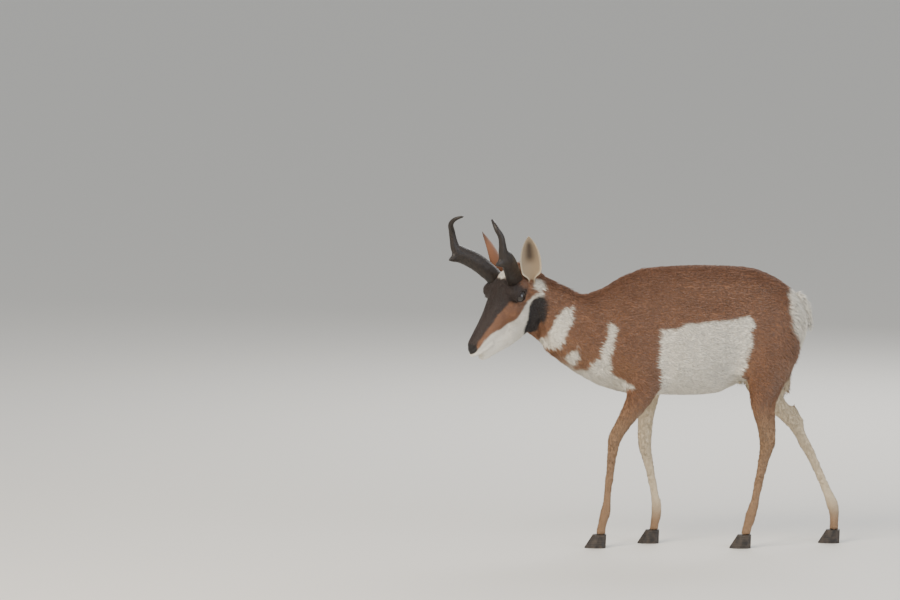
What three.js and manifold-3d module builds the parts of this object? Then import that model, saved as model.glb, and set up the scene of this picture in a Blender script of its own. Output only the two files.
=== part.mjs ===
// A pronghorn buck in mid-step, life size, in millimetres.
// It walks towards -X with its head turned to its left (-Y).
// Flesh is one smooth body, a blend of chains of round sections, parted into named pieces by thin cuts.
import * as THREE from "three";
import { mergeVertices } from "three/addons/utils/BufferGeometryUtils.js";
import Module from "manifold-3d";

const wasm = await Module();
wasm.setup();

// Driving sizes
const GAP = 0.35; // between neighbouring pieces
const REACH = 4000; // a cutting block's side
const RIM = 500; // the field outside a grid
const OUTSIDE = 0.05; // a corner moved just outside
const TINY = 1e-6;
const FAR = 1e4; // where a blend of fields starts
const CURVE_STEPS = 5; // sections between two listed ones
const HEAD_SCALE = 1.15; // head length against the listed head sections
const HEAD_YAW = (43 * Math.PI) / 180; // nose turned to the animal's left
const HEAD_PITCH = (31 * Math.PI) / 180; // nose dropped
const EYE_LINE = [-453, -53, 801]; // midway between the eyes
const EYE_RADIUS = 19;
const EYE_AT = [2, 55, -4]; // in the head's own frame: towards the nose, to its left, up
const LID_STEPS = 14;
const LID_LENGTH = 17.5; // half of the almond's
const LID_HEIGHT = 12;
const LID_TILT = 0.12; // the front corner hangs
const LID_REACH = 380; // squared distance of the lids from the ball's middle
const LID_FLOOR = 20;
const LID_SINK = 2.5;
const LID_RADIUS = 3.6;
const NOSTRIL_AT = [181, 15.5, -54];
const NOSTRIL_SIZE = [8.5, 4.5, 3.6];
const NOSTRIL_TURN = 0.5;
const MOUTH_RADIUS = 2.4;
const HOOF_TOP = 42; // where hair meets horn
const HOOF_LENGTH = 68;
const HOOF_WIDTH = 46;
const HOOF_CLEFT = 4.4; // between the two toes
const HOOF_TOE_SHARE = 0.56; // of the length lies ahead of the leg
const HOOF_TOP_WIDTH = 0.8; // of the sole's, as the wall narrows upwards
const HOOF_TOP_LENGTH = 0.62;
const HOOF_LEAN = 13; // the wall leans back from the toe
const HOOF_AHEAD = 12; // of the leg's last section

// Sections are [x, y, z, radius in the side view, radius across], listed along each chain.
const BARREL = [
  [-122, 0, 624, 98, 78], [-82, 0, 644, 154, 102], [-18, 0, 656, 182, 119], [100, 0, 660, 188, 138],
  [213, 0, 666, 183, 142], [299, 0, 692, 152, 124], [358, 0, 696, 122, 106], [395, 0, 682, 82, 82],
];
const SPINE = [
  [-100, 0, 728, 72, 50], [-60, 0, 768, 78, 52], [-10, 0, 797, 78, 56], [100, 0, 806, 78, 66],
  [213, 0, 805, 78, 74], [299, 0, 794, 82, 82], [358, 0, 762, 84, 84], [398, 0, 716, 72, 76],
];
const NECK = [
  [-386, -20, 790, 68, 50], [-344, -11, 760, 86, 56], [-294, -4, 720, 99, 64],
  [-237, 0, 680, 110, 76], [-172, 0, 659, 129, 89], [-100, 0, 657, 143, 98],
];
// Legs are written for the left side (-Y) and mirrored for the right.
// Their upper ends sink into the trunk.
const FORE_LEFT = [
  [-27, -71, 736, 76, 36], [-47, -83, 628, 83, 45], [-16.5, -86, 539, 56, 39], [-41, -80, 465, 39, 31],
  [-82, -71, 397, 25.5, 21], [-109, -65, 349, 23.5, 19.5], [-116, -63, 317, 19, 17],
  [-125, -60, 241, 15.5, 13.5], [-134, -57, 150, 15.5, 13.5], [-139, -56, 108, 20, 17],
  [-149, -56, 78, 16, 15], [-156, -56, 32, 17, 16],
];
const FORE_RIGHT = [
  [-27, -71, 736, 76, 36], [-43, -83, 628, 83, 45], [-4, -86, 539, 56, 39], [-5.5, -80, 465, 40, 31],
  [-12, -72, 388, 25.5, 21], [-14.5, -67, 322, 24, 20], [-11, -64, 290, 19.5, 17.5],
  [3.5, -62, 229, 15.5, 13.5], [18, -59, 150, 15.5, 13.5], [25.5, -56, 106, 20, 17],
  [20, -56, 76, 16, 15], [12.5, -56, 32, 17, 16],
];
const HIND_LEFT = [
  [385, -60, 700, 94, 60], [371, -80, 619, 89, 54], [348, -89, 542, 62, 42], [346, -83, 460, 38, 28],
  [359, -74, 381, 25.5, 20], [366, -69, 339, 27.5, 19], [361, -66, 307, 22, 16.5],
  [344, -63, 229, 16.5, 13.5], [326, -62, 142, 16.5, 13.5], [316, -61, 103, 21, 17],
  [306, -61, 76, 17, 15], [297, -61, 32, 17, 16],
];
const HIND_RIGHT = [
  [385, -60, 700, 94, 60], [364, -80, 619, 89, 54], [337, -89, 539, 65, 42], [371, -83, 474, 42, 30],
  [419, -74, 414, 30, 21.5], [462, -69, 365, 27, 18.5], [480, -66, 332, 22, 16],
  [515, -63, 262, 16.5, 13.5], [554, -62, 174, 16.5, 13.5], [578, -61, 115, 21, 17],
  [582, -61, 81, 17, 15], [580, -61, 32, 17, 16],
];
const TENDON_LEFT = [
  [415, -77, 564, 23.5, 16.5], [391, -76, 460, 10, 7], [386, -72, 388, 9, 7.5],
  [384, -70, 349, 12, 11.5],
];
const TENDON_RIGHT = [
  [426, -78, 528, 23.5, 16.5], [439, -76, 474, 11, 8], [464, -72, 425, 10, 7],
  [485, -69, 388, 12, 11],
];
const TAIL = [
  [460, 0, 780, 21.5, 20], [480, 0, 756, 18, 17], [492, 0, 724, 13.5, 14.5], [495, 0, 693, 7, 8],
];

// The head's sections are in its own frame: towards the nose, to its left, up.
const SKULL = [
  [-80, 0, -12, 44, 42], [-50, 0, -4, 52, 50], [-12, 0, -8, 52, 50],
  [28, 0, -24, 45, 42], [68, 0, -38, 39, 35], [106, 0, -49, 34, 31],
  [138, 0, -56, 29, 27], [162, 0, -60, 23, 24], [174, 0, -62, 16, 18],
];
const JAW = [
  [-46, 0, -70, 59, 40], [0, 0, -80, 55, 38], [48, 0, -89, 44, 32],
  [96, 0, -93, 31, 25], [134, 0, -95, 21, 20], [150, 0, -97, 13, 15],
];
const BROW = [[-14, 44, 8, 24, 24], [6, 45, 9, 22, 22]];
const CHEEK = [[20, 34, -48, 30, 18], [-34, 30, -76, 46, 20]];

// Horn sections run up from a base on the brow; the blade is deep fore and aft, and thin across.
const HORN_BASE = [-14, 41, 44];
const HORN = [
  [-5, -4, -16, 25, 17], [2, 10, 20, 25, 16], [12, 28, 54, 25, 14], [26, 46, 82, 23, 12.5],
  [34, 53, 108, 16, 10.5], [27, 56, 132, 11.5, 9], [20, 56, 154, 9.5, 8.5],
  [18, 50, 176, 8, 7.5], [10, 39, 187, 7, 6.5], [-2, 21, 189, 5, 4.5],
];
const PRONG = [[28, 46, 82, 19, 12], [46, 50, 88, 14, 9], [60, 51, 92, 8.5, 7], [69, 51, 95, 5, 4.5]];
const EAR_ROOT = [-64, 50, 10];
const EAR_TIP = [-80, 87, 129];
const EAR_HALF_WIDTH = 27;

const lerp = (a, b, t) => a + (b - a) * t;
const mirrored = (chain) => chain.map(([x, y, ...rest]) => [x, -y, ...rest]);

// The head's own frame, set by its turn and drop.
const headFrame = (() => {
  const nose = new THREE.Vector3(
    -Math.cos(HEAD_YAW) * Math.cos(HEAD_PITCH),
    -Math.sin(HEAD_YAW) * Math.cos(HEAD_PITCH),
    -Math.sin(HEAD_PITCH),
  );
  const left = new THREE.Vector3(Math.sin(HEAD_YAW), -Math.cos(HEAD_YAW), 0);
  const up = nose.clone().cross(left);
  return new THREE.Matrix4()
    .makeBasis(nose, left, up)
    .scale(new THREE.Vector3(HEAD_SCALE, HEAD_SCALE, HEAD_SCALE))
    .setPosition(...EYE_LINE);
})();
const headBack = headFrame.clone().invert();

// A smooth run of sections through the listed ones.
function smoothChain(chain) {
  const out = [];
  for (let i = 0; i < chain.length - 1; i++) {
    const at = (k) => chain[Math.min(Math.max(k, 0), chain.length - 1)];
    const [a, b, c, d] = [at(i - 1), at(i), at(i + 1), at(i + 2)];
    for (let s = 0; s < CURVE_STEPS; s++) {
      const t = s / CURVE_STEPS;
      out.push(b.map((_, n) => {
        const slope = c[n] - a[n];
        const bend = 2 * a[n] - 5 * b[n] + 4 * c[n] - d[n];
        const twist = 3 * b[n] - a[n] - 3 * c[n] + d[n];
        return b[n] + (slope * t + bend * t * t + twist * t * t * t) / 2;
      }));
    }
  }
  out.push(chain[chain.length - 1]);
  return out;
}

// Signed distance, roughly, to a chain of elliptic sections.
function chainField(listed) {
  const chain = smoothChain(listed);
  return (x, y, z) => {
    let best = Infinity;
    for (let i = 0; i < chain.length - 1; i++) {
      const a = chain[i];
      const b = chain[i + 1];
      const vx = b[0] - a[0];
      const vy = b[1] - a[1];
      const vz = b[2] - a[2];
      const along = (x - a[0]) * vx + (y - a[1]) * vy + (z - a[2]) * vz;
      const t = Math.min(1, Math.max(0, along / (vx * vx + vy * vy + vz * vz || 1)));
      const deep = lerp(a[3], b[3], t);
      const wide = lerp(a[4], b[4], t);
      const dx = x - a[0] - vx * t;
      const dy = y - a[1] - vy * t;
      const dz = z - a[2] - vz * t;
      const reach = Math.hypot(dx / deep, dz / deep, dy / wide);
      const flat = Math.hypot(dx, dy, dz);
      const d = reach > TINY ? flat * (1 - 1 / reach) : -Math.min(deep, wide);
      if (d < best) best = d;
    }
    return best;
  };
}

const blend = (a, b, k) => {
  const h = Math.max(k - Math.abs(a - b), 0) / k;
  return Math.min(a, b) - (h * h * k) / 4;
};
const blendAll = (fields, k) => (x, y, z) => fields.reduce((d, f) => blend(d, f(x, y, z), k), FAR);

// Blends are wide on the trunk and neck, narrow on the legs and head.
const TRUNK_BLEND = 54;
const LEG_BLEND = 31;
const TENDON_BLEND = 14;
const HEAD_BLEND = 16;
const NAPE_BLEND = 36;
const PRONG_BLEND = 9;
const trunk = blendAll([chainField(BARREL), chainField(SPINE), chainField(NECK)], TRUNK_BLEND);
const legs = [
  [FORE_LEFT],
  [HIND_LEFT, TENDON_LEFT],
  [mirrored(FORE_RIGHT)],
  [mirrored(HIND_RIGHT), mirrored(TENDON_RIGHT)],
].map((chains) => blendAll(chains.map(chainField), TENDON_BLEND));
const headChains = [SKULL, JAW, BROW, mirrored(BROW), CHEEK, mirrored(CHEEK)];
const headLocal = blendAll(headChains.map(chainField), HEAD_BLEND);
const toHead = new THREE.Vector3();
const head = (x, y, z) => {
  toHead.set(x, y, z).applyMatrix4(headBack);
  return headLocal(toHead.x, toHead.y, toHead.z) * HEAD_SCALE;
};
const body = (x, y, z) => {
  let d = trunk(x, y, z);
  for (const leg of legs) d = blend(d, leg(x, y, z), LEG_BLEND);
  return blend(d, head(x, y, z), NAPE_BLEND);
};

// A closed mesh of a field's zero surface inside a box: one vertex in each cell that the surface crosses.
function surfaceOf(field, low, high, cell) {
  const n = [0, 1, 2].map((i) => Math.ceil((high[i] - low[i]) / cell[i]) + 3);
  const at = (i, axis) => low[axis] + (i - 1) * cell[axis];
  const index = (i, j, k) => i + n[0] * (j + n[1] * k);
  const value = new Float32Array(n[0] * n[1] * n[2]);
  for (let k = 0; k < n[2]; k++)
    for (let j = 0; j < n[1]; j++)
      for (let i = 0; i < n[0]; i++) {
        const edge = i === 0 || j === 0 || k === 0 || i === n[0] - 1 || j === n[1] - 1 || k === n[2] - 1;
        value[index(i, j, k)] = edge ? RIM : field(at(i, 0), at(j, 1), at(k, 2)) || 1e-4;
      }
  // Where a grid square's corners lie in and out by turns, the shallower inner one moves out.
  // That keeps every edge shared by two faces only.
  const steps = [1, n[0], n[0] * n[1]];
  for (let changed = true; changed; ) {
    changed = false;
    for (let a = 0; a < value.length - steps[2] - steps[1]; a++)
      for (const [u, w] of [[steps[0], steps[1]], [steps[1], steps[2]], [steps[2], steps[0]]]) {
        const square = [value[a], value[a + u], value[a + u + w], value[a + w]].map((v) => v < 0);
        if (square[0] !== square[2] || square[1] !== square[3] || square[0] === square[1]) continue;
        const [p, q] = square[0] ? [a, a + u + w] : [a + u, a + w];
        value[value[p] > value[q] ? p : q] = OUTSIDE;
        changed = true;
      }
  }
  const corners = [0, 1, 2, 3, 4, 5, 6, 7].map((c) => [c & 1, (c >> 1) & 1, c >> 2]);
  const edges = [];
  for (let a = 0; a < 8; a++)
    for (const bit of [1, 2, 4])
      if (!(a & bit)) edges.push([a, a | bit]);
  const vertexOf = new Int32Array(value.length).fill(-1);
  const points = [];
  for (let k = 0; k < n[2] - 1; k++)
    for (let j = 0; j < n[1] - 1; j++)
      for (let i = 0; i < n[0] - 1; i++) {
        const v = corners.map(([a, b, c]) => value[index(i + a, j + b, k + c)]);
        const sum = [0, 0, 0];
        let crossed = 0;
        for (const [a, b] of edges) {
          if (v[a] < 0 === v[b] < 0) continue;
          const t = v[a] / (v[a] - v[b]);
          for (let m = 0; m < 3; m++) sum[m] += lerp(corners[a][m], corners[b][m], t);
          crossed++;
        }
        if (!crossed) continue;
        vertexOf[index(i, j, k)] = points.length / 3;
        const from = [i, j, k];
        for (let m = 0; m < 3; m++) points.push(at(from[m] + sum[m] / crossed, m));
      }
  const triangles = [];
  const quad = (a, b, c, d, turned) => {
    const [p, q, r, s] = [a, b, c, d].map((w) => vertexOf[w]);
    triangles.push(...(turned ? [p, r, q, p, s, r] : [p, q, r, p, r, s]));
  };
  for (let k = 0; k < n[2] - 1; k++)
    for (let j = 0; j < n[1] - 1; j++)
      for (let i = 0; i < n[0] - 1; i++) {
        const here = value[index(i, j, k)] < 0;
        if (j && k && here !== value[index(i + 1, j, k)] < 0)
          quad(index(i, j - 1, k - 1), index(i, j, k - 1), index(i, j, k), index(i, j - 1, k), !here);
        if (i && k && here !== value[index(i, j + 1, k)] < 0)
          quad(index(i - 1, j, k - 1), index(i - 1, j, k), index(i, j, k), index(i, j, k - 1), !here);
        if (i && j && here !== value[index(i, j, k + 1)] < 0)
          quad(index(i - 1, j - 1, k), index(i, j - 1, k), index(i, j, k), index(i - 1, j, k), !here);
      }
  return solidFrom(new Float32Array(points), new Uint32Array(triangles));
}

const solidFrom = (vertProperties, triVerts) =>
  new wasm.Manifold(new wasm.Mesh({ numProp: 3, vertProperties, triVerts }));

// A three.js geometry as a solid, moved by a matrix.
function solidOf(geometry, matrix) {
  const g = geometry.clone().applyMatrix4(matrix ?? new THREE.Matrix4());
  g.deleteAttribute("normal");
  g.deleteAttribute("uv");
  const merged = mergeVertices(g, 1e-3);
  return solidFrom(merged.attributes.position.array, new Uint32Array(merged.index.array));
}

const largest = (solid) => solid.decompose().reduce((a, b) => (b.volume() > a.volume() ? b : a));

// Everything on the side of a plane that its normal points to.
function halfSpace(point, normal, back = 0) {
  const n = new THREE.Vector3(...normal).normalize();
  const turn = new THREE.Matrix4().makeRotationFromQuaternion(
    new THREE.Quaternion().setFromUnitVectors(new THREE.Vector3(0, 0, 1), n));
  const centre = new THREE.Vector3(...point).addScaledVector(n, REACH / 2 - back);
  return solidOf(new THREE.BoxGeometry(REACH, REACH, REACH), turn.setPosition(centre));
}
const keep = (solid, planes, back = 0) =>
  planes.reduce((s, [point, normal]) => s.intersect(halfSpace(point, normal, back)), solid);

// Planes that part the legs, neck and head from the trunk; each normal points into the named piece.
const NECK_PLANE = [[-186, 0, 655], [-0.93, 0, 0.36]];
const HEAD_PLANE = [[-395, -10, 800], [-0.8, -0.5, -0.3]];
const legPlanes = (side, fore) => fore
  ? [[[0, side * 42, 470], [0, side * 0.62, -0.78]], [[0, side * 12, 0], [0, side, 0]],
     [[94, 0, 510], [-1, 0, 0]], [[-213, 0, 510], [1, 0, 0]]]
  : [[[0, side * 31, 501], [0, side * 0.78, -0.62]], [[0, side * 12, 0], [0, side, 0]],
     [[288, 0, 528], [0.94, 0, -0.34]]];
const legRegion = (side, fore, back) => keep(halfSpace(...legPlanes(side, fore)[0], back),
  legPlanes(side, fore).slice(1), back);

// Grid cells, across each axis; legs that stand upright take longer cells.
const TRUNK_CELL = [34, 29, 30];
const NECK_CELL = [24, 20, 23];
const HEAD_CELL = [11.5, 11.5, 11.5];
const HORN_CELL = [9.5, 7.5, 12];
const TAIL_CELL = [12, 11, 14];
const UPRIGHT_CELL = [12.5, 11.5, 27];
const SLOPING_CELL = [14.5, 11.5, 17];

// Each leg: name, side, fore or hind, its grid's two corners, its field and its cell.
const LEG_NODES = [
  ["foreleg_left", -1, true, [-240, -160, 0], [120, 0, 645], legs[0], UPRIGHT_CELL],
  ["hindleg_left", -1, false, [226, -175, 0], [530, 0, 785], legs[1], UPRIGHT_CELL],
  ["foreleg_right", 1, true, [-240, 0, 0], [120, 160, 645], legs[2], UPRIGHT_CELL],
  ["hindleg_right", 1, false, [226, 0, 0], [645, 175, 785], legs[3], SLOPING_CELL],
];

const group = new THREE.Group();
function add(name, solid, look) {
  const made = largest(solid).getMesh();
  const geometry = new THREE.BufferGeometry();
  const v = new Float32Array(made.numVert * 3);
  for (let i = 0; i < made.numVert; i++)
    v.set(made.vertProperties.subarray(i * made.numProp, i * made.numProp + 3), i * 3);
  geometry.setAttribute("position", new THREE.BufferAttribute(v, 3));
  geometry.setIndex(new THREE.BufferAttribute(made.triVerts, 1));
  geometry.computeVertexNormals();
  const mesh = new THREE.Mesh(geometry, new THREE.MeshStandardMaterial(look));
  mesh.name = name;
  group.add(mesh);
}
const TAN_COAT = { color: 0x8f5a35, roughness: 0.85, metalness: 0 };
const PALE_COAT = { color: 0xcfcabb, roughness: 0.85, metalness: 0 };
const BLACK_HORN = { color: 0x17120f, roughness: 0.5, metalness: 0 };
const WET_EYE = { color: 0x0b0705, roughness: 0.08, metalness: 0 };
const SLATE_HOOF = { color: 0x221d1b, roughness: 0.5, metalness: 0 };

// Trunk
let torso = surfaceOf(body, [-300, -185, 420], [565, 185, 930], TRUNK_CELL);
torso = torso.subtract(halfSpace(...NECK_PLANE));
for (const [, side, fore] of LEG_NODES) torso = torso.subtract(legRegion(side, fore, 0));
torso = largest(torso);
add("torso", torso, TAN_COAT);

// Neck
const neckField = (x, y, z) => blend(trunk(x, y, z), head(x, y, z), NAPE_BLEND);
const neck = surfaceOf(neckField, [-500, -140, 420], [-108, 140, 950], NECK_CELL)
  .intersect(halfSpace(...NECK_PLANE, -GAP))
  .subtract(halfSpace(...HEAD_PLANE));
add("neck", neck, TAN_COAT);

// Legs and hooves
function hoofShape() {
  const shape = new THREE.Shape();
  const half = HOOF_WIDTH / 2;
  const toe = HOOF_LENGTH * HOOF_TOE_SHARE;
  const heel = toe - HOOF_LENGTH;
  const cleft = HOOF_CLEFT / 2;
  shape.moveTo(cleft, -toe * 0.2);
  shape.lineTo(cleft, toe * 0.8);
  shape.quadraticCurveTo(cleft + 1, toe, half * 0.42, toe * 0.98);
  shape.bezierCurveTo(half * 0.9, toe * 0.7, half * 1.06, toe * 0.1, half, heel * 0.5);
  shape.quadraticCurveTo(half * 0.85, heel, half * 0.4, heel);
  shape.lineTo(-half * 0.4, heel);
  shape.quadraticCurveTo(-half * 0.85, heel, -half, heel * 0.5);
  shape.bezierCurveTo(-half * 1.06, toe * 0.1, -half * 0.9, toe * 0.7, -half * 0.42, toe * 0.98);
  shape.quadraticCurveTo(-cleft - 1, toe, -cleft, toe * 0.8);
  shape.lineTo(-cleft, -toe * 0.2);
  shape.closePath();
  return shape;
}
function hoofSolid(x, y) {
  const settings = { depth: HOOF_TOP, steps: 2, bevelEnabled: false, curveSegments: 3 };
  const g = new THREE.ExtrudeGeometry(hoofShape(), settings);
  const p = g.attributes.position;
  for (let i = 0; i < p.count; i++) {
    const rise = p.getZ(i) / HOOF_TOP;
    const along = p.getY(i) * lerp(1, HOOF_TOP_LENGTH, rise) - HOOF_LEAN * rise;
    const across = p.getX(i) * lerp(1, HOOF_TOP_WIDTH, rise);
    p.setXYZ(i, x - along, y + across, p.getZ(i));
  }
  return solidOf(g);
}
for (const [name, side, fore, low, high, own, cell] of LEG_NODES) {
  const field = (x, y, z) => blend(trunk(x, y, z), own(x, y, z), LEG_BLEND);
  const solid = surfaceOf(field, low, high, cell)
    .intersect(legRegion(side, fore, -GAP))
    .intersect(halfSpace([0, 0, HOOF_TOP + GAP], [0, 0, 1]));
  add(name, solid, TAN_COAT);
}
const FEET = {
  fore_left: FORE_LEFT,
  hind_left: HIND_LEFT,
  fore_right: mirrored(FORE_RIGHT),
  hind_right: mirrored(HIND_RIGHT),
};
for (const [place, chain] of Object.entries(FEET)) {
  const [x, y] = chain[chain.length - 1];
  add("hoof_" + place, hoofSolid(x - HOOF_AHEAD, y), SLATE_HOOF);
}

// Tail
const tail = surfaceOf(chainField(TAIL), [425, -36, 660], [528, 36, 820], TAIL_CELL);
add("tail", tail.subtract(torso.translate(GAP, 0, 0)), PALE_COAT);

// Head, with its eyes, lids, nostrils and the line of the mouth
const place = (x, y, z, turn = new THREE.Matrix4()) => {
  const move = new THREE.Matrix4().makeTranslation(x, y, z);
  return headFrame.clone().multiply(move).multiply(turn);
};
function tubeOf(points, radius, sides, steps) {
  const circle = new THREE.Shape();
  circle.absarc(0, 0, radius, 0, 2 * Math.PI);
  const path = new THREE.CatmullRomCurve3(points.map((p) => new THREE.Vector3(...p)));
  const settings = { steps, extrudePath: path, bevelEnabled: false, curveSegments: sides };
  return new THREE.ExtrudeGeometry(circle, settings);
}
let skull = surfaceOf(head, [-700, -330, 560], [-300, 120, 930], HEAD_CELL);
const neckRoot = surfaceOf(neckField, [-480, -140, 620], [-340, 110, 920], NECK_CELL);
skull = skull.add(neckRoot).intersect(halfSpace(...HEAD_PLANE, -GAP));
const eyes = [1, -1].map((side) => {
  const ball = new THREE.SphereGeometry(EYE_RADIUS / HEAD_SCALE, 14, 10);
  const socket = new THREE.SphereGeometry((EYE_RADIUS + GAP) / HEAD_SCALE, 14, 10);
  const at = place(EYE_AT[0], side * EYE_AT[1], EYE_AT[2]);
  // Lids: an almond ring that lies on the ball
  const ring = Array.from({ length: LID_STEPS + 1 }, (_, i) => {
    const a = (2 * Math.PI * i) / LID_STEPS;
    const along = LID_LENGTH * Math.cos(a);
    const rise = LID_HEIGHT * Math.sin(a) - LID_TILT * along;
    const out = Math.sqrt(Math.max(LID_FLOOR, LID_REACH - along * along - rise * rise)) - LID_SINK;
    return [EYE_AT[0] + along, side * (EYE_AT[1] + out), EYE_AT[2] + rise];
  });
  skull = skull.add(solidOf(tubeOf(ring, LID_RADIUS, 3, LID_STEPS), headFrame));
  skull = skull.subtract(solidOf(socket, at));
  return solidOf(ball, at);
});
for (const side of [1, -1]) {
  const slot = new THREE.SphereGeometry(1, 8, 6);
  const turn = new THREE.Matrix4().makeRotationZ(side * NOSTRIL_TURN);
  turn.scale(new THREE.Vector3(...NOSTRIL_SIZE));
  const [x, y, z] = NOSTRIL_AT;
  skull = skull.subtract(solidOf(slot, place(x, side * y, z, turn)));
}
const MOUTH = [[191, 0, -82], [180, 15, -83], [158, 23, -84], [132, 26, -84], [106, 27, -80]];
for (const line of [MOUTH, mirrored(MOUTH)])
  skull = skull.subtract(solidOf(tubeOf(line, MOUTH_RADIUS, 3, 7), headFrame));
skull = largest(skull);
add("head", skull, TAN_COAT);
add("eye_left", eyes[0], WET_EYE);
add("eye_right", eyes[1], WET_EYE);

// Horns: a flat blade with a forward prong, and a hooked tip
const up = new THREE.Vector3().setFromMatrixColumn(headFrame, 2).normalize();
const liftedHead = skull.translate(up.x * GAP, up.y * GAP, up.z * GAP);
const onHead = (chain, side) => chain.map(([x, y, z, a, b]) =>
  [x + HORN_BASE[0], side * (y + HORN_BASE[1]), z + HORN_BASE[2], a, b]);
for (const [name, side] of [["horn_left", 1], ["horn_right", -1]]) {
  const local = blendAll([chainField(onHead(HORN, side)), chainField(onHead(PRONG, side))], PRONG_BLEND);
  const low = side > 0 ? [-70, 20, -5] : [-70, -140, -5];
  const high = side > 0 ? [90, 140, 280] : [90, -20, 280];
  const horn = surfaceOf(local, low, high, HORN_CELL).transform(headFrame.toArray());
  add(name, horn.subtract(liftedHead), BLACK_HORN);
}

// Ears: a leaf with a cup, drawn as a shell between an outer and an inner bowed face
const EAR_OPENS = [0.62, 0.75, 0]; // where the cup faces
const EAR_WALL = [5, 2.2]; // at the root and at the tip
const EAR_FOLD = [1.82, 0.74]; // half the angle that the cup is rolled through, in radians
const EAR_ROWS = 10;
const EAR_RIBS = 9;
const EAR_BOW = 10; // how far the middle bends back
function earSolid(side) {
  const root = new THREE.Vector3(...EAR_ROOT);
  const axis = new THREE.Vector3(...EAR_TIP).sub(root);
  const length = axis.length();
  axis.normalize();
  const open = new THREE.Vector3(...EAR_OPENS).normalize();
  open.addScaledVector(axis, -open.dot(axis)).normalize();
  const across = axis.clone().cross(open);
  const points = [];
  for (let r = 0; r <= EAR_ROWS; r++) {
    const t = r / EAR_ROWS;
    const leaf = Math.pow(Math.sin(Math.PI * lerp(0.16, 1, t)), 0.72);
    const width = EAR_HALF_WIDTH * leaf + 1.5;
    const fold = lerp(...EAR_FOLD, t);
    const wall = lerp(...EAR_WALL, t);
    const outer = width / Math.max(0.75, Math.sin(Math.min(fold, Math.PI / 2)));
    const back = EAR_BOW * Math.sin(Math.PI * t);
    for (const inner of [false, true])
      for (let s = 0; s <= EAR_RIBS; s++) {
        const angle = lerp(-fold, fold, (inner ? EAR_RIBS - s : s) / EAR_RIBS);
        const radius = inner ? Math.max(outer - wall, 0.2) : outer;
        const p = root.clone().addScaledVector(axis, t * length)
          .addScaledVector(across, Math.sin(angle) * radius)
          .addScaledVector(open, outer - Math.cos(angle) * radius - back);
        points.push(p.x, side * p.y, p.z);
      }
  }
  const ring = 2 * (EAR_RIBS + 1);
  const faces = [];
  const face = (a, b, c) => faces.push(...(side > 0 ? [a, c, b] : [a, b, c]));
  for (let r = 0; r < EAR_ROWS; r++)
    for (let s = 0; s < ring; s++) {
      const a = r * ring + s;
      const b = r * ring + ((s + 1) % ring);
      face(a, b, b + ring);
      face(a, b + ring, a + ring);
    }
  for (let s = 0; s < EAR_RIBS; s++) {
    const rim = [s, s + 1, ring - 2 - s, ring - 1 - s];
    const [a, b, c, d] = rim;
    face(a, c, b);
    face(a, d, c);
    const [e, f, g, h] = rim.map((q) => EAR_ROWS * ring + q);
    face(e, f, g);
    face(e, g, h);
  }
  return solidFrom(new Float32Array(points), new Uint32Array(faces)).transform(headFrame.toArray());
}
for (const [name, side] of [["ear_left", 1], ["ear_right", -1]]) {
  let ear = earSolid(side);
  const lift = new THREE.Vector3(...EAR_TIP).sub(new THREE.Vector3(...EAR_ROOT));
  lift.y *= side;
  lift.transformDirection(headFrame);
  for (const root of [skull, neck])
    for (const step of [0, GAP, 2 * GAP])
      ear = ear.subtract(root.translate(lift.x * step, lift.y * step, lift.z * step));
  add(name, ear, TAN_COAT);
}

// The origin is the middle of the footprint, on the ground.
const bounds = new THREE.Box3().setFromObject(group);
const middle = bounds.getCenter(new THREE.Vector3());
group.position.set(-middle.x, -middle.y, -bounds.min.z);

export default group;
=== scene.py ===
# Pronghorn buck, dressed over its fixed frame: skin, short coat, horns, ears, eyes and hooves.
import bpy, bmesh, math
import numpy as np
from mathutils import Matrix, Vector


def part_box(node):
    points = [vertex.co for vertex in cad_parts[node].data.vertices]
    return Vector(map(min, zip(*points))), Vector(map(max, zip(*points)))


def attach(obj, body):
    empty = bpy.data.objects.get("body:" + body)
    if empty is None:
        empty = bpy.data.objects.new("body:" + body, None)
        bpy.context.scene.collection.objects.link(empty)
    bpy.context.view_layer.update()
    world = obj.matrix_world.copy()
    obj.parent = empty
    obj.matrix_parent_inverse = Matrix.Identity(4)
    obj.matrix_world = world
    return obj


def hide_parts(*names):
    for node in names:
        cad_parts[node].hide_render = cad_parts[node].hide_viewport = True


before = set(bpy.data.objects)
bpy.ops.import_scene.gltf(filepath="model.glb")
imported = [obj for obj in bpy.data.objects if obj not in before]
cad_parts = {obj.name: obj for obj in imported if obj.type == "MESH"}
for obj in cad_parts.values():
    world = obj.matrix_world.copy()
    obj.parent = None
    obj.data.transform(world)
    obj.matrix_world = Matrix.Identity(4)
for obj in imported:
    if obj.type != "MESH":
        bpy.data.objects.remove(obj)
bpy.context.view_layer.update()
millimetre = 0.001


# Where things are, read from the frame
def middleOf(node):
    low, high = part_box(node)
    return np.array((low + high) / 2)


bodyMiddleY = middleOf("torso")[1]
eyeLeft, eyeRight = middleOf("eye_left"), middleOf("eye_right")
headSet = {"drop": math.radians(31), "scale": 1.15, "eyeAhead": 2, "eyeUp": -4}  # as in the solid
leftAxis = (eyeLeft - eyeRight) / np.linalg.norm(eyeLeft - eyeRight)
levelNose = np.cross(leftAxis, (0, 0, 1))  # where the nose would point if the head were level
noseAxis = levelNose * math.cos(headSet["drop"]) - np.array((0, 0, math.sin(headSet["drop"])))
upAxis = np.cross(noseAxis, leftAxis)
headTurn = np.stack([noseAxis, leftAxis, upAxis], 1)  # columns: towards the nose, to its left, up
headUnit = headSet["scale"] * millimetre
eyesFromOrigin = np.array((headSet["eyeAhead"], 0, headSet["eyeUp"])) * headUnit
headOrigin = (eyeLeft + eyeRight) / 2 - headTurn @ eyesFromOrigin


def toHead(points):
    return (points - headOrigin) @ headTurn / headUnit


def fromHead(points):
    return np.asarray(points, float) @ headTurn.T * headUnit + headOrigin


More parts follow.
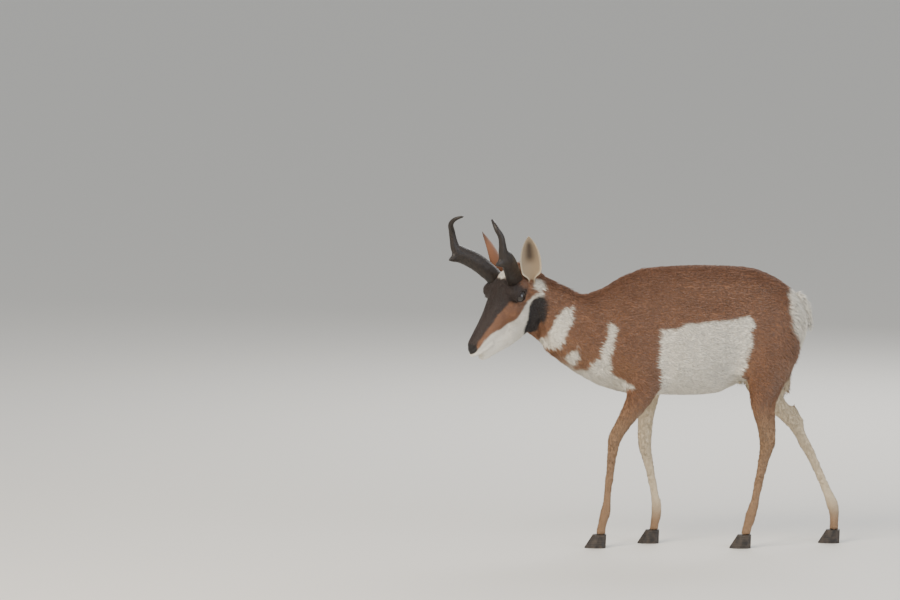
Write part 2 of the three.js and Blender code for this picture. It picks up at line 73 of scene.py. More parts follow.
# Small tools
def linear(hexColour):
    parts = [int(hexColour[i:i + 2], 16) / 255 for i in (1, 3, 5)]
    return tuple(c / 12.92 if c <= 0.04045 else ((c + 0.055) / 1.055) ** 2.4 for c in parts)


def addNode(tree, kind, settings=None, links=None):
    node = tree.nodes.new(kind)
    for key, value in (settings or {}).items():
        if key in node.inputs:
            node.inputs[key].default_value = value
        else:
            setattr(node, key, value)
    for key, source in (links or {}).items():
        tree.links.new(source, node.inputs[key])
    return node


def ramp(tree, factor, lowStop, highStop):  # from one colour to another; each stop is (place, colour)
    node = addNode(tree, "ShaderNodeValToRGB", None, {"Fac": factor})
    for element, (place, colour) in zip(node.color_ramp.elements, (lowStop, highStop)):
        element.position = place
        element.color = (*linear(colour), 1)
    return node


def newMaterial(name):
    material = bpy.data.materials.new(name)
    material.use_nodes = True
    material.node_tree.nodes.clear()
    return material, material.node_tree


def meshObject(name, points, faces, material=None):
    mesh = bpy.data.meshes.new(name)
    mesh.from_pydata([tuple(p) for p in points], [], [tuple(int(i) for i in f) for f in faces])
    mesh.update()
    mesh.polygons.foreach_set("use_smooth", [True] * len(mesh.polygons))
    piece = bpy.data.objects.new(name, mesh)
    bpy.context.scene.collection.objects.link(piece)
    if material:
        mesh.materials.append(material)
    return piece


def pointsOf(mesh):
    flat = np.empty(len(mesh.vertices) * 3, np.float32)
    mesh.vertices.foreach_get("co", flat)
    return flat.reshape(-1, 3).astype(float)


def normalsOf(mesh):
    flat = np.empty(len(mesh.vertices) * 3, np.float32)
    mesh.vertex_normals.foreach_get("vector", flat)
    return flat.reshape(-1, 3).astype(float)


def ease(value, low, high):  # 0 below low, 1 above high, smooth between
    t = np.clip((value - low) / (high - low), 0, 1)
    return t * t * (3 - 2 * t)


# Evens the mesh out, with an inward and an outward step each round, so that it keeps its size
def smoothed(points, edges, rounds, inward=0.5, outward=-0.52):
    count = np.maximum(np.bincount(edges.ravel(), minlength=len(points)), 1)[:, None]
    for _ in range(rounds):
        for step in (inward, outward):
            total = np.zeros_like(points)
            for axis in range(3):
                total[:, axis] = (np.bincount(edges[:, 0], points[edges[:, 1], axis], len(points))
                                  + np.bincount(edges[:, 1], points[edges[:, 0], axis], len(points)))
            points = points + (total / count - points) * step
    return points


def edgesOf(mesh):
    flat = np.empty(len(mesh.edges) * 2, np.int32)
    mesh.edges.foreach_get("vertices", flat)
    return flat.reshape(-1, 2)


# Shapes made of round sections, blended: [ahead, side, up, deep, wide] in the head's own millimetres
def denseChain(sections, steps=5):
    rows = np.array(sections, float)
    padded = np.vstack([rows[:1], rows, rows[-1:]])
    out = []
    for i in range(1, len(padded) - 2):
        a, b, c, d = padded[i - 1:i + 3]
        for t in np.linspace(0, 1, steps, endpoint=False):
            slope, bend, twist = c - a, 2 * a - 5 * b + 4 * c - d, 3 * b - a - 3 * c + d
            out.append(0.5 * (2 * b + slope * t + bend * t ** 2 + twist * t ** 3))
    return np.array(out + [rows[-1]])


def chainField(points, sections):
    rows = denseChain(sections)
    best = np.full(len(points), 1e9)
    for a, b in zip(rows[:-1], rows[1:]):
        along = b[:3] - a[:3]
        t = np.clip(((points - a[:3]) @ along) / max(along @ along, 1e-9), 0, 1)
        offset = points - a[:3] - t[:, None] * along
        deep = a[3] + (b[3] - a[3]) * t
        wide = a[4] + (b[4] - a[4]) * t
        upright = offset[:, 0] ** 2 + offset[:, 2] ** 2
        reach = np.sqrt(upright / deep ** 2 + offset[:, 1] ** 2 / wide ** 2)
        flat = np.linalg.norm(offset, axis=1)
        best = np.minimum(best, flat * (1 - 1 / np.maximum(reach, 1e-4)))
    return best


def blend(a, b, k):
    h = np.maximum(k - np.abs(a - b), 0) / k
    return np.minimum(a, b) - h * h * k / 4


def carve(a, b, k):
    return -blend(-a, b, k)


def mirrored(sections):
    return [[row[0], -row[1], *row[2:]] for row in sections]


# Points and quads of a field's zero surface: one point in each cell that it crosses
def gridSurface(field, low, high, cell):
    low = np.array(low, float)
    high = np.array(high, float)
    n = np.ceil((high - low) / cell).astype(int) + 1
    axes = [low[i] + np.arange(n[i]) * cell for i in range(3)]
    grid = np.stack(np.meshgrid(*axes, indexing="ij"), -1).reshape(-1, 3)
    value = field(grid).reshape(n)
    inside = value < 0
    total = np.zeros((*(n - 1), 3))
    crossed = np.zeros(n - 1)
    corner = [(c & 1, c >> 1 & 1, c >> 2) for c in range(8)]
    cut = lambda c: tuple(slice(c[i], n[i] - 1 + c[i]) for i in range(3))
    for p in corner:
        for axis in range(3):
            if p[axis]:
                continue
            q = tuple(p[i] + (i == axis) for i in range(3))
            a = value[cut(p)]
            b = value[cut(q)]
            hit = inside[cut(p)] != inside[cut(q)]
            t = np.where(hit, a / np.where(hit, a - b, 1), 0)
            spot = np.zeros((*(n - 1), 3)) + p
            spot[..., axis] += t
            total += spot * hit[..., None]
            crossed += hit
    used = crossed > 0
    number = np.full(n - 1, -1)
    number[used] = np.arange(used.sum())
    points = (np.argwhere(used) + total[used] / crossed[used][:, None]) * cell + low
    faces = []
    for axis in range(3):
        u = np.eye(3, dtype=int)[(axis + 1) % 3]
        w = np.eye(3, dtype=int)[(axis + 2) % 3]
        first = [slice(0, n[i] - 1) if i == axis else slice(1, n[i] - 1) for i in range(3)]
        second = list(first)
        second[axis] = slice(1, n[axis])
        here = inside[tuple(first)]
        there = inside[tuple(second)]
        for flip in (False, True):
            at = np.argwhere(here & ~there if not flip else ~here & there)
            at = at + [0 if i == axis else 1 for i in range(3)]
            quad = [number[tuple((at - u * du - w * dw).T)] for du, dw in ((1, 1), (0, 1), (0, 0), (1, 0))]
            faces.append(np.stack(quad[::-1] if flip else quad, 1))
    return points, np.vstack(faces)


# Head: the same sections as the solid, sampled fine, with lids, nostrils and the line of the mouth
headShape = {
    "skull": [[-80, 0, -12, 44, 42], [-50, 0, -4, 52, 50], [-12, 0, -8, 52, 50], [28, 0, -24, 45, 42],
              [68, 0, -38, 39, 35], [106, 0, -49, 34, 31], [138, 0, -56, 29, 27], [162, 0, -60, 23, 24],
              [174, 0, -62, 16, 18]],
    "jaw": [[-46, 0, -70, 59, 40], [0, 0, -80, 55, 38], [48, 0, -89, 44, 32], [96, 0, -93, 31, 25],
            [134, 0, -95, 21, 20], [150, 0, -97, 13, 15]],
    "brow": [[-14, 44, 8, 24, 24], [6, 45, 9, 22, 22]],
    "cheek": [[20, 34, -48, 30, 18], [-34, 30, -76, 46, 20]],
    "mouth": [[191, 0, -82, 2.6, 2.4], [180, 15, -83, 2.6, 3], [158, 23, -84, 2.4, 3],
              [132, 27, -84, 2, 3], [104, 29, -79, 1.6, 3]],
    "nostril": [[190, 9, -57, 4.4, 3.6], [183, 15, -54, 5, 4], [174, 20, -52, 3.4, 3]],
    "upperLip": [[186, 0, -75, 5, 7], [175, 13, -76, 6, 6], [154, 19, -77, 6, 6], [128, 22, -76, 5, 6]],
    "chin": [[160, 0, -101, 8, 12], [144, 0, -103, 9, 13]],
    "eyeAt": (2, 55, -4), "eyeRadius": 19 / 1.15, "eyeGap": 0.4, "eyeEdge": 1.5,
    "lidHalfLength": 17.5, "lidHalfHeight": 11.5, "lidTilt": 0.14, "lidRadius": 2.8, "lidFloor": 30,
    "blend": 16, "lipBlend": 8, "lidBlend": 7, "grooveEdge": 2.5,
    "low": (-135, -92, -152), "high": (212, 92, 68), "cell": 4.5,
}


def lidRing(side, count=20):
    ahead, out, up = headShape["eyeAt"]
    rows = []
    for turn in np.linspace(0, 2 * math.pi, count + 1):
        along = headShape["lidHalfLength"] * math.cos(turn)
        rise = headShape["lidHalfHeight"] * math.sin(turn) - headShape["lidTilt"] * along
        reach = (headShape["eyeRadius"] + 1) ** 2 - along ** 2 - rise ** 2
        bulge = math.sqrt(max(headShape["lidFloor"], reach))
        rows.append([ahead + along, side * (out + bulge - 1), up + rise] + [headShape["lidRadius"]] * 2)
    return rows


def headField(points):
    shape = headShape
    field = chainField(points, shape["skull"])
    bones = (shape["jaw"], shape["brow"], mirrored(shape["brow"]), shape["cheek"], mirrored(shape["cheek"]))
    for part in bones:
        field = blend(field, chainField(points, part), shape["blend"])
    for part in (shape["upperLip"], mirrored(shape["upperLip"]), shape["chin"]):
        field = blend(field, chainField(points, part), shape["lipBlend"])
    for side in (1, -1):
        eye = np.array(shape["eyeAt"]) * (1, side, 1)
        fromEye = np.linalg.norm(points - eye, axis=1)
        field = blend(field, chainField(points, lidRing(side)), shape["lidBlend"])
        field = carve(field, fromEye - shape["eyeRadius"] - shape["eyeGap"], shape["eyeEdge"])
        for groove in ("mouth", "nostril"):
            rows = shape[groove] if side > 0 else mirrored(shape[groove])
            field = carve(field, chainField(points, rows), shape["grooveEdge"])
    return field


headPoints, headFaces = gridSurface(headField, headShape["low"], headShape["high"], headShape["cell"])
print("head sampled", len(headPoints))

# Skin: the flesh nodes and the fine head joined in one mesh, then evened out where the solids are faceted
skinSet = {
    "voxel": 4.0 * millimetre, "grown": 0.5 * millimetre, "rearHead": (0.985, 0.96, 0.96),
    "trunkRounds": 70, "legRounds": 9, "thighRounds": 26, "lastRounds": 3,
    "trunkDepth": 5.0, "legDepth": 1.6, "headDepth": 1.2,  # below the coat, in millimetres
}
fleshNodes = ["torso", "neck", "head", "tail",
              "foreleg_left", "foreleg_right", "hindleg_left", "hindleg_right"]


def nodeCopy(nodes, grown=0.0):
    points, faces = [], []
    start = 0
    for name in nodes:
        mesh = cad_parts[name].data
        points.append(pointsOf(mesh) + normalsOf(mesh) * grown)
        faces += [[start + i for i in p.vertices] for p in mesh.polygons]
        start += len(mesh.vertices)
    return np.vstack(points), faces


def setPoints(mesh, points):
    mesh.vertices.foreach_set("co", np.asarray(points, np.float32).ravel())
    mesh.update()


def headWeight(points):  # 1 on the head, 0 on the neck and body
    local = toHead(points)
    return ease(local[:, 0], -70, -25) * ease(local[:, 2], -175, -150) * ease(local[:, 0], 290, 260)


def legWeight(points):
    return 1 - ease(points[:, 2], 0.40, 0.56)


def onField(points, field, rounds=3, step=0.6):  # moves points onto a field's zero surface
    for _ in range(rounds):
        value = field(points)
        slope = np.stack([(field(points + np.eye(3)[i] * step) - value) / step for i in range(3)], 1)
        size = np.maximum((slope ** 2).sum(1), 0.15)
        points = points - slope * np.clip(value / size, -4, 4)[:, None]
    return points


bodyPoints, bodyFaces = nodeCopy([n for n in fleshNodes if n != "head"], grown=skinSet["grown"])
rearHead, rearFaces = nodeCopy(["head"])
rearHead = fromHead(toHead(rearHead) * skinSet["rearHead"])  # the faceted head, shrunk inside the fine one
allPoints = np.vstack([bodyPoints, rearHead, fromHead(headPoints)])
allFaces = (bodyFaces + [[i + len(bodyPoints) for i in f] for f in rearFaces]
            + [[int(i) + len(bodyPoints) + len(rearHead) for i in f] for f in headFaces])
skin = meshObject("skin", allPoints, allFaces)
change = skin.modifiers.new("join", "REMESH")
change.mode = "VOXEL"
change.voxel_size = skinSet["voxel"]
joined = bpy.data.meshes.new_from_object(skin.evaluated_get(bpy.context.evaluated_depsgraph_get()))
skin.modifiers.clear()
skin.data = joined
print("skin joined", len(skin.data.vertices))

fine = bmesh.new()
fine.from_mesh(skin.data)
places = np.array([v.co for v in fine.verts])
onHead = headWeight(places) > 0.5
headEdges = [e for e in fine.edges if all(onHead[v.index] for v in e.verts)]
bmesh.ops.subdivide_edges(fine, edges=headEdges, cuts=1, use_grid_fill=True)
fine.to_mesh(skin.data)
fine.free()
skinPoints, skinEdges = pointsOf(skin.data), edgesOf(skin.data)
headShare = headWeight(skinPoints)[:, None]
legShare = legWeight(skinPoints)[:, None]
evenTrunk = smoothed(skinPoints, skinEdges, skinSet["trunkRounds"])
evenLegs = smoothed(skinPoints, skinEdges, skinSet["legRounds"])
haunchShare = ease(skinPoints[:, 0], 0.39, 0.43) * ease(skinPoints[:, 2], 0.30, 0.36)
legShare = legShare * (1 - haunchShare[:, None])  # the sloping thigh is evened like the trunk
evened = evenTrunk * (1 - legShare) + evenLegs * legShare
onRight = ease(skinPoints[:, 1] - bodyMiddleY, 0.0, 0.02)
thighShare = haunchShare * (1 - ease(skinPoints[:, 2], 0.50, 0.56)) * onRight
# The far thigh's solid is lumpy, so its skin is drawn in
evenThigh = smoothed(evened, skinEdges, skinSet["thighRounds"], outward=0.0)
evened = evened + (evenThigh - evened) * thighShare[:, None]
skinPoints = evened * (1 - headShare) + evenLegs * headShare
nearHead = np.flatnonzero(headShare[:, 0] > 0.02)
exact = fromHead(onField(toHead(skinPoints[nearHead]), headField))
skinPoints[nearHead] += (exact - skinPoints[nearHead]) * headShare[nearHead]
setPoints(skin.data, skinPoints)

# Hollows pressed into the trunk, on both sides: middle (x, z), reach (x, z) and depth, in metres.
# They are the flank, behind the elbow, before the shoulder, under the loin, hip, belly, blade and stifle.
hollows = [
    ((0.285, 0.60), (0.060, 0.11), 0.016), ((0.060, 0.60), (0.040, 0.13), 0.009),
    ((-0.120, 0.70), (0.034, 0.12), 0.009), ((0.230, 0.795), (0.110, 0.035), 0.006),
    ((0.410, 0.70), (0.030, 0.06), 0.005), ((0.290, 0.50), (0.060, 0.05), 0.010),
    ((-0.020, 0.79), (0.030, 0.05), 0.005), ((0.350, 0.60), (0.018, 0.07), 0.004),
]
pressed = np.zeros(len(skinPoints))
for (hollowX, hollowZ), (reachX, reachZ), sunk in hollows:
    along = (skinPoints[:, 0] - hollowX) / reachX
    rise = (skinPoints[:, 2] - hollowZ) / reachZ
    pressed += sunk * np.exp(-along ** 2 - rise ** 2)
pressed *= (1 - headShare[:, 0]) * (1 - legWeight(skinPoints) * 0.8)
skinPoints = skinPoints - normalsOf(skin.data) * pressed[:, None]
skinPoints = smoothed(skinPoints, skinEdges, skinSet["lastRounds"]) * (1 - headShare) + skinPoints * headShare
setPoints(skin.data, skinPoints)

depth = skinSet["trunkDepth"] * (1 - legShare) + skinSet["legDepth"] * legShare
depth = (depth * (1 - headShare) + skinSet["headDepth"] * headShare) * millimetre
skinPoints = skinPoints - normalsOf(skin.data) * depth
setPoints(skin.data, skinPoints)
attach(skin, "root")
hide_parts(*fleshNodes)
skin.data.polygons.foreach_set("use_smooth", [True] * len(skin.data.polygons))
print("skin evened", len(skin.data.vertices))


# Markings, by place on the body; the same on both sides. Outlines are (x, z) in metres.
coatShades = {
    "tan": "#7b5439", "back": "#6c472f", "warm": "#8b6446", "white": "#dfd9cb", "cream": "#cdbda0",
    "black": "#1d1512", "mask": "#2a1d17", "legTan": "#8a6c4f", "nose": "#17110f",
}
markSet = {
    "flank": [(0.044, 0.6905), (0.141, 0.7125), (0.312, 0.7325), (0.325, 0.7245), (0.322, 0.6685),
              (0.306, 0.5995), (0.3, 0.5585), (0.3, 0.4335), (0.047, 0.4335), (0.043, 0.5245),
              (0.036, 0.6155)],
    "chest": [(-0.116, 0.7165), (-0.134, 0.6525), (-0.153, 0.5995), (-0.191, 0.5655),
              (-0.245, 0.48), (-0.09, 0.476), (-0.045, 0.514), (-0.062, 0.5295),
              (-0.112, 0.5585), (-0.118, 0.5995), (-0.106, 0.6525), (-0.1, 0.6995)],
    "neckBand": [(-0.265, 0.7565), (-0.234, 0.7565), (-0.234, 0.7185), (-0.25, 0.6745), (-0.272, 0.6345),
                 (-0.303, 0.6275), (-0.334, 0.6405), (-0.325, 0.6555), (-0.303, 0.6745), (-0.284, 0.7125)],
    "throat": [(-0.213, 0.6345), (-0.209, 0.6055), (-0.234, 0.5775), (-0.265, 0.5995), (-0.247, 0.6155)],
    "rump": ((0.498, 0.7335), (0.078, 0.136, 0.127)),  # middle, and reach along, across and up
    # On the head, in its own millimetres: middle (ahead, side, up) and reach
    "eyeRim": ((3, 55, -3), (26, 30, 18)),
    "earBase": ((-70, 54, -14), (22, 30, 20)),
    "poll": ((-30, 0, 44), (26, 28, 30)),
    "nosePad": ((186, 0, -57), (17, 24, 14)),
    "cheekBand": ((-18, -86), (0.779, 0.627), (22, 60)),  # middle (ahead, up), direction across, half sizes
}


def outlineDistance(x, z, corners):  # below zero inside the closed outline
    inside = np.zeros(len(x), bool)
    best = np.full(len(x), 1e9)
    for (ax, az), (bx, bz) in zip(corners, corners[1:] + corners[:1]):
        span = (bx - ax) ** 2 + (bz - az) ** 2
        t = np.clip(((x - ax) * (bx - ax) + (z - az) * (bz - az)) / span, 0, 1)
        best = np.minimum(best, np.hypot(x - ax - t * (bx - ax), z - az - t * (bz - az)))
        crosses = (az > z) != (bz > z)
        cut = ax + (z - az) / np.where(bz == az, 1, bz - az) * (bx - ax)
        inside ^= crosses & (x < cut)
    return np.where(inside, -best, best)


def waver(points, size, seed=0.0):  # soft uneven field of about -1 to 1, with waves of that size
    p = points / size
    return (np.sin(p[:, 0] * 2.1 + seed + 1.3 * np.sin(p[:, 2] * 1.7 + seed))
            + np.sin(p[:, 2] * 2.3 + 1.9 * seed + 1.1 * np.sin(p[:, 1] * 1.9 + seed))
            + np.sin(p[:, 1] * 2.7 + 0.7 * seed + 1.2 * np.sin(p[:, 0] * 1.5))) / 3


def distanceIn(spot, mark):  # from a mark's middle, as a share of its reach
    middle, reach = markSet[mark]
    return np.sqrt(sum(((spot[i] - middle[i]) / reach[i]) ** 2 for i in range(3)))


def coatColour(points, normals):
    shade = {name: np.array(linear(value)) for name, value in coatShades.items()}
    x, y, z = points.T
    colour = np.tile(shade["tan"], (len(points), 1))

    def paint(name, share):
        colour[:] += (shade[name] - colour) * np.clip(share, 0, 1)[:, None]

    drift = waver(points, 0.022) * 0.006 + waver(points, 0.007, 2.0) * 0.003
    paint("back", ease(normals[:, 2], 0.35, 0.9) * ease(z, 0.5, 0.7))
    paint("warm", ease(normals[:, 2], 0.1, -0.5) * ease(z, 0.45, 0.6))
    paint("legTan", 1 - ease(z, 0.35, 0.5))
    under = ease(normals[:, 2], -0.55, -0.8) * ease(z, 0.40, 0.44)
    paint("white", under * ease(x, -0.30, -0.2))
    for name in ("flank", "chest", "neckBand", "throat"):
        paint("white", 1 - ease(outlineDistance(x, z, markSet[name]) + drift, -0.004, 0.006))
    (rumpX, rumpZ), radii = markSet["rump"]
    offset = ((x - rumpX) / radii[0], (y - bodyMiddleY) / radii[1], (z - rumpZ) / radii[2])
    away = np.sqrt(offset[0] ** 2 + offset[1] ** 2 + offset[2] ** 2)
    paint("white", 1 - ease(away + drift * 8, 0.92, 1.06))
    faceIn = ease(-normals[:, 1] * np.sign(y - bodyMiddleY), -0.1, 0.45)  # the legs' inner sides
    paint("cream", faceIn * (1 - ease(z, 0.5, 0.56)) * ease(z, 0.06, 0.16) * 0.9)
    local = toHead(points)
    ahead, side, up = local[:, 0], np.abs(local[:, 1]), local[:, 2]
    spot = (ahead, side, up)
    edge = drift * 400
    head = ease(ahead, -92, -74) * ease(up, -165, -140) * ease(side, 86, 72)
    paint("tan", head)
    blackLine = 2 - 0.31 * ahead + edge  # the black top of the muzzle ends here
    tanBand = 9 + 38 * (1 - ease(ahead, 40, 150))  # tan below it, narrower towards the nose
    (bandAhead, bandUp), (across, along), (halfWidth, halfLength) = markSet["cheekBand"]
    towardNose = (ahead - bandAhead) * across + (up - bandUp) * along + edge
    downBand = (ahead - bandAhead) * along - (up - bandUp) * across
    paint("white", head * ease(up - blackLine + tanBand, 4, -4) * ease(towardNose, -6, 4))
    paint("mask", head * ease(up - blackLine, -2, 5) * ease(ahead, -22, -2))
    paint("mask", head * (1 - ease(distanceIn(spot, "eyeRim"), 0.85, 1.15)))
    patch = np.sqrt((towardNose / halfWidth) ** 2 + (downBand / halfLength) ** 2)
    paint("black", head * (1 - ease(patch, 0.85, 1.08)) * ease(side, 12, 24))
    paint("white", head * (1 - ease(distanceIn(spot, "earBase"), 0.8, 1.1)))
    paint("white", head * (1 - ease(distanceIn(spot, "poll"), 0.8, 1.1)))
    paint("nose", head * (1 - ease(distanceIn(spot, "nosePad"), 0.85, 1.1)))
    return np.clip(colour, 0, 1)


def setColours(mesh, colours):
    attribute = mesh.color_attributes.new("coat", "FLOAT_COLOR", "POINT")
    attribute.data.foreach_set("color", np.hstack([colours, np.ones((len(colours), 1))]).ravel())


skinNormals = normalsOf(skin.data)
setColours(skin.data, coatColour(skinPoints, skinNormals))


# Horns: a flat black blade with a forward prong and a hooked tip
hornShape = {
    "base": (-14, 41, 44),
    "beam": [[-5, -4, -16, 24.5, 16.5], [2, 10, 20, 24.5, 15.5], [12, 28, 54, 24.5, 13.5],
             [26, 46, 82, 22.5, 12], [34, 53, 108, 15.5, 10], [27, 56, 132, 11, 8.5],
             [20, 56, 154, 9, 8], [18, 50, 176, 7.5, 7], [10, 39, 187, 6, 5.5],
             [0, 24, 190, 4, 4], [-6, 16, 189, 2.4, 2.4]],
    "prong": [[28, 46, 82, 18.5, 11.5], [46, 50, 88, 13.5, 8.5],
              [60, 51, 92, 8, 6.5], [70, 51, 96, 3, 3]],
    "low": (-60, 8, 10), "high": (95, 125, 262), "blend": 9, "cell": 2.8, "rounds": 3,
}


def onBrow(rows, side):
    ahead, out, up = hornShape["base"]
    return [[row[0] + ahead, side * (row[1] + out), row[2] + up, *row[3:]] for row in rows]


def hornField(points, side):
    beam = chainField(points, onBrow(hornShape["beam"], side))
    field = blend(beam, chainField(points, onBrow(hornShape["prong"], side)), hornShape["blend"])
    return field + 0.7 * waver(points, 7.0) * (1 - ease(points[:, 2], 60, 120))  # knobbly at the base


def hornPiece(side, name, material):
    low, high = np.array(hornShape["low"]), np.array(hornShape["high"])
    if side < 0:
        low[1], high[1] = -high[1], -low[1]
    points, faces = gridSurface(lambda p: hornField(p, side), low, high, hornShape["cell"])
    horn = meshObject(name, fromHead(points), faces, material)
    setPoints(horn.data, smoothed(pointsOf(horn.data), edgesOf(horn.data), hornShape["rounds"]))
    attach(horn, "root")
    return horn


# Black horn sheath: satin, with furrows that run up the blade, so that the light breaks in thin lines
def hornMaterial():
    material, tree = newMaterial("horn sheath, weathered and furrowed lengthwise")
    place = addNode(tree, "ShaderNodeTexCoord")
    turned = addNode(tree, "ShaderNodeMapping", {"Rotation": Matrix(headTurn.T.tolist()).to_euler()},
                     {"Vector": place.outputs["Object"]})
    stretched = addNode(tree, "ShaderNodeMapping", {"Scale": (420, 420, 26)},  # 2.4 mm across, 38 mm along
                        {"Vector": turned.outputs["Vector"]})
    furrows = addNode(tree, "ShaderNodeTexNoise", {"Scale": 1.0, "Detail": 5.0, "Roughness": 0.6},
                      {"Vector": stretched.outputs["Vector"]})
    broad = addNode(tree, "ShaderNodeTexNoise", {"Scale": 38.0, "Detail": 3.0},  # 26 mm patches
                    {"Vector": place.outputs["Object"]})
    shade = ramp(tree, furrows.outputs["Fac"], (0.35, "#0e0b09"), (0.75, "#35291f"))
    rough = addNode(tree, "ShaderNodeMapRange", {"To Min": 0.34, "To Max": 0.58},
                    {"Value": broad.outputs["Fac"]})
    relief = addNode(tree, "ShaderNodeBump", {"Strength": 0.55, "Distance": 1.2 * millimetre},
                     {"Height": furrows.outputs["Fac"]})
    shader = addNode(tree, "ShaderNodeBsdfPrincipled", None,
                     {"Base Color": shade.outputs["Color"], "Roughness": rough.outputs["Result"],
                      "Normal": relief.outputs["Normal"]})
    addNode(tree, "ShaderNodeOutputMaterial", None, {"Surface": shader.outputs["BSDF"]})
    return material


hornLook = hornMaterial()
hornLeft = hornPiece(1, "horn_sheath_left", hornLook)
hornRight = hornPiece(-1, "horn_sheath_right", hornLook)
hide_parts("horn_left")
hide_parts("horn_right")
print("horns made", len(hornLeft.data.vertices))


# Coat: hair seen as fine strands of colour from the markings, dull, with a faint sheen along the lit edge
def coatMaterial(name, grain, sheen):
    material, tree = newMaterial(name)
    colour = addNode(tree, "ShaderNodeVertexColor", {"layer_name": "coat"})
    place = addNode(tree, "ShaderNodeTexCoord")
    strands = addNode(tree, "ShaderNodeMapping", {"Scale": (240, 900, 420)},  # 4 mm long, 1 to 2 mm across
                      {"Vector": place.outputs["Object"]})
    noise = addNode(tree, "ShaderNodeTexNoise", {"Scale": 1.0, "Detail": 4.0, "Roughness": 0.65},
                    {"Vector": strands.outputs["Vector"]})
    light = addNode(tree, "ShaderNodeMapRange", {"To Min": 1 - grain, "To Max": 1 + grain},
                    {"Value": noise.outputs["Fac"]})
    shade = addNode(tree, "ShaderNodeVectorMath", {"operation": "SCALE"},
                    {"Vector": colour.outputs["Color"], "Scale": light.outputs["Result"]})
    relief = addNode(tree, "ShaderNodeBump", {"Strength": 0.6, "Distance": 0.8 * millimetre},
                     {"Height": noise.outputs["Fac"]})
    shader = addNode(tree, "ShaderNodeBsdfPrincipled",
                     {"Roughness": 0.72, "Sheen Weight": sheen, "Sheen Roughness": 0.4},
                     {"Base Color": shade.outputs["Vector"], "Normal": relief.outputs["Normal"]})
    addNode(tree, "ShaderNodeOutputMaterial", None, {"Surface": shader.outputs["BSDF"]})
    return material


skin.data.materials.append(coatMaterial("underfur, matted short over skin", 0.3, 0.1))
# The guard hair's colours carry painted shade at the tufts' roots and painted light at their tips
coatLook = coatMaterial("guard hair, lying flat and sun-bleached at the tips", 0.12, 0.2)

# Ears: cupped leaves, thin at the rim, tan outside and pale inside, with painted shade down the middle of the
# cup
earShape = {"root": (-64, 50, 10), "tip": (-83, 91, 137), "halfWidth": 28, "opens": (0.62, 0.75, 0),
            "wall": (4.4, 1.2), "fold": (1.82, 0.74), "bow": 10, "rows": 44, "ribs": 26}


def earPiece(side, name, node):
    root = np.array(earShape["root"], float)
    axis = np.array(earShape["tip"]) - root
    length = np.linalg.norm(axis)
    axis /= length
    opens = np.array(earShape["opens"])
    opens = opens - axis * (opens @ axis)
    opens /= np.linalg.norm(opens)
    across = np.cross(axis, opens)
    rows, ribs = earShape["rows"], earShape["ribs"]
    points, shades = [], []
    tan, dark = np.array(linear("#7d5236")), np.array(linear("#241812"))
    pale, cupShadeColour, fringe = (np.array(linear(c)) for c in ("#9a8870", "#3a2c22", "#cabda3"))
    for r in range(-3, rows + 1):
        t = max(r, 0) / rows
        leaf = math.sin(math.pi * (0.16 + 0.84 * t)) ** 0.72 if t < 1 else 0.02
        stalk = 0.5 + 0.5 * ease(t, 0, 0.22)
        width = earShape["halfWidth"] * leaf * stalk + 0.8
        fold = earShape["fold"][0] + (earShape["fold"][1] - earShape["fold"][0]) * t
        wall = earShape["wall"][0] + (earShape["wall"][1] - earShape["wall"][0]) * min(1, t * 1.4)
        outer = width / max(0.75, math.sin(min(fold, math.pi / 2)))
        back = earShape["bow"] * math.sin(math.pi * t)
        for inner in (0, 1):
            for k in range(ribs + 1):
                s = (ribs - k if inner else k) / ribs
                angle = fold * (2 * s - 1)
                rim = abs(2 * s - 1)
                radius = outer - (wall * (1 - 0.75 * rim ** 3) if inner else 0)
                spot = (root + axis * (t * length + min(r, 0) * 7) + across * math.sin(angle) * radius
                        + opens * (outer - math.cos(angle) * radius - back))
                points.append(spot * (1, side, 1))
                if inner:
                    # Painted shade: a dark band down the middle of the inner cup, where the hollow is deepest
                    midway = ease(t, 0.25, 0.5) * (1 - ease(t, 0.75, 0.95))
                    cupShade = 0.9 * math.exp(-((rim / 0.4) ** 2)) * midway
                    shade = pale * (1 - cupShade) + cupShadeColour * cupShade
                    shade = shade + (fringe - shade) * ease(rim, 0.7, 0.92)
                else:
                    edge = max(0, t - 0.72) / 0.28 * 0.8 + max(0, rim - 0.8) * 1.6
                    shade = tan * (1 - min(edge, 1)) + dark * min(edge, 1)
                shades.append(shade)
    ring = 2 * (ribs + 1)
    faces = []
    for r in range(rows + 3):
        for k in range(ring):
            a, b = r * ring + k, r * ring + (k + 1) % ring
            faces.append((a, a + ring, b + ring, b))
    last = (rows + 3) * ring
    for k in range(ribs):
        faces.append((k, k + 1, ring - 2 - k, ring - 1 - k))
        faces.append((last + ring - 1 - k, last + ring - 2 - k, last + k + 1, last + k))
    if side < 0:
        faces = [f[::-1] for f in faces]
    ear = meshObject(name, fromHead(points), faces, coatLook)
    setColours(ear.data, np.array(shades))
    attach(ear, "root")
    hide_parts(node)


earPiece(1, "ear_skin_left", "ear_left")
earPiece(-1, "ear_skin_right", "ear_right")
print("ears made")


# Eyes: a dark brown iris with a long level pupil under a clear wet cornea
def eyeMaterial():
    material, tree = newMaterial("eye, wet cornea over dark brown iris")
    colour = addNode(tree, "ShaderNodeVertexColor", {"layer_name": "coat"})
    shader = addNode(tree, "ShaderNodeBsdfPrincipled",
                     {"Roughness": 0.06, "Coat Weight": 0.5, "Coat Roughness": 0.04},
                     {"Base Color": colour.outputs["Color"]})
    addNode(tree, "ShaderNodeOutputMaterial", None, {"Surface": shader.outputs["BSDF"]})
    return material


